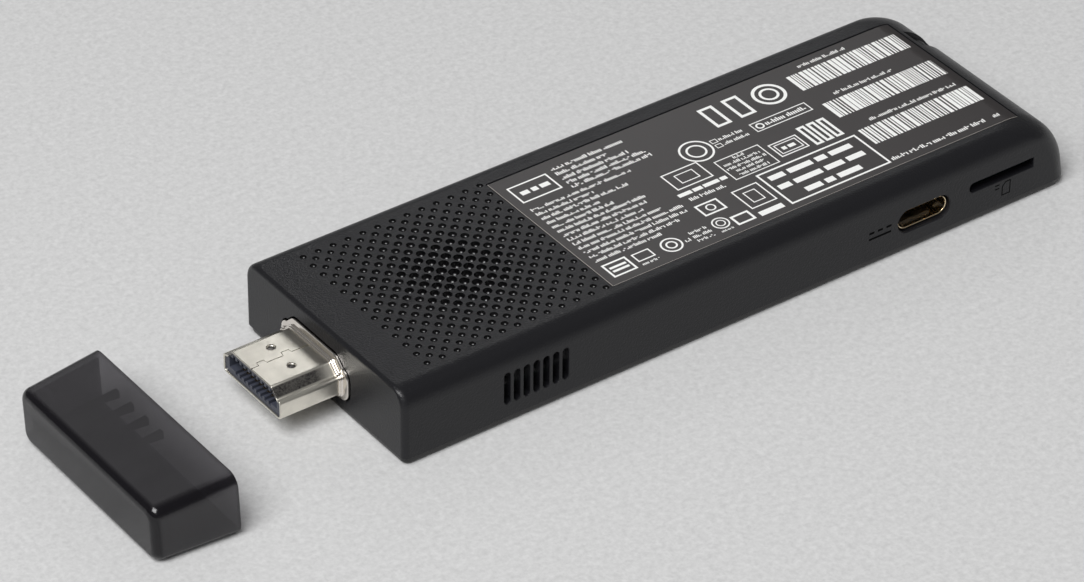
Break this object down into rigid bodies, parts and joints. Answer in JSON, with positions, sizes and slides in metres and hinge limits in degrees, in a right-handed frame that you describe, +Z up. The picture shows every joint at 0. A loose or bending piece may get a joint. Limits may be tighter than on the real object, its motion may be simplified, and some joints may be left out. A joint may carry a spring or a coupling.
{
  "type": "hdmi stick computer",
  "caption": "Flat stick computer with a metal video plug at one end, dimpled vent grille, label panel, side ports, inner board, cooler and fan, and a pull-off plug cap.",
  "frame": {"origin": "centre of the flat rest face under the housing", "axes": "+X from the plug end to the far end, +Z up through the label side, -Y out of the port side"},
  "size_m": [0.1532, 0.0383, 0.012],
  "materials": {
    "shell_plastic": "fine matte texture",
    "cover_plastic": "glossy black",
    "label_film": "satin printed film",
    "smoky_plastic": "polished, smoky clear",
    "plug_metal": "nickel plated, satin",
    "steel": "satin",
    "gold": "gold plated",
    "insulator": "moulded, dark",
    "button_plastic": "satin",
    "clear_plastic": "clear",
    "board": "solder mask",
    "chip_epoxy": "moulded epoxy",
    "silicon": "polished",
    "pad": "soft",
    "copper": "satin copper",
    "fin_metal": "plain",
    "fan_plastic": "moulded",
    "sleeve_bronze": "sintered bronze",
    "core_steel": "laminated",
    "white_plastic": "moulded",
    "lead_jacket": "insulated wire",
    "passive_ceramic": "fired",
    "ferrite": "pressed",
    "can_metal": "tinned",
    "antenna_film": "etched film"
  },
  "bodies": {
    "housing": {"label_shell": "shell_plastic", "face_cover": "cover_plastic", "rating_label": "label_film", "hdmi_shell": "plug_metal", "hdmi_bezel": "plug_metal", "hdmi_insulator": "insulator", "hdmi_contacts": "gold", "usb_c_shell": "steel", "usb_c_tongue": "insulator", "usb_c_contacts": "gold", "card_socket_cover": "steel", "card_socket_base": "insulator", "card_contacts": "gold", "usb_a_shell": "steel", "usb_a_tongue": "insulator", "usb_a_contacts": "gold", "power_switch": "steel", "status_led": "white_plastic", "light_pipe": "clear_plastic", "lanyard_bar": "button_plastic", "mainboard": "board", "board_screws": "steel", "processor_package": "board", "processor_die": "silicon", "thermal_pad": "pad", "heat_spreader": "copper", "cooler_screws": "steel", "heat_pipe": "copper", "heat_fins": "fin_metal", "fan_frame": "fan_plastic", "fan_sleeve": "sleeve_bronze", "fan_stator": "core_steel", "fan_screws": "steel", "fan_connector": "white_plastic", "fan_leads": "lead_jacket", "memory_chips": "chip_epoxy", "storage_chip": "chip_epoxy", "power_controller": "chip_epoxy", "power_inductors": "ferrite", "capacitors": "passive_ceramic", "clock_crystal": "can_metal", "wireless_module": "can_metal", "antenna_left": "antenna_film", "antenna_right": "antenna_film", "antenna_lead_left": "lead_jacket", "antenna_lead_right": "lead_jacket"},
    "fan": {"fan_rotor": "fan_plastic", "fan_shaft": "steel"},
    "button": {"power_button": "button_plastic"},
    "slider": {"card_slider": "white_plastic"},
    "cap": {"plug_cap": "smoky_plastic"}
  },
  "joints": [
    {"name": "fan_spin", "type": "hinge", "parent": "housing", "child": "fan", "pos_m": [-0.03626, 0, 0.007], "axis": [0, 0, 1], "continuous": true},
    {"name": "button_press", "type": "slide", "parent": "housing", "child": "button", "axis": [0, -1, 0], "range_m": [0, 0.00035], "stiffness_N_per_m": 600, "springref_m": -0.0004},
    {"name": "card_push", "type": "slide", "parent": "housing", "child": "slider", "axis": [0, 1, 0], "range_m": [0, 0.0012], "stiffness_N_per_m": 150, "springref_m": -0.001},
    {"name": "cap_pull", "type": "slide", "parent": "housing", "child": "cap", "axis": [0.9992, 0, 0.0404], "range_m": [0, 0.02502]}
  ]
}
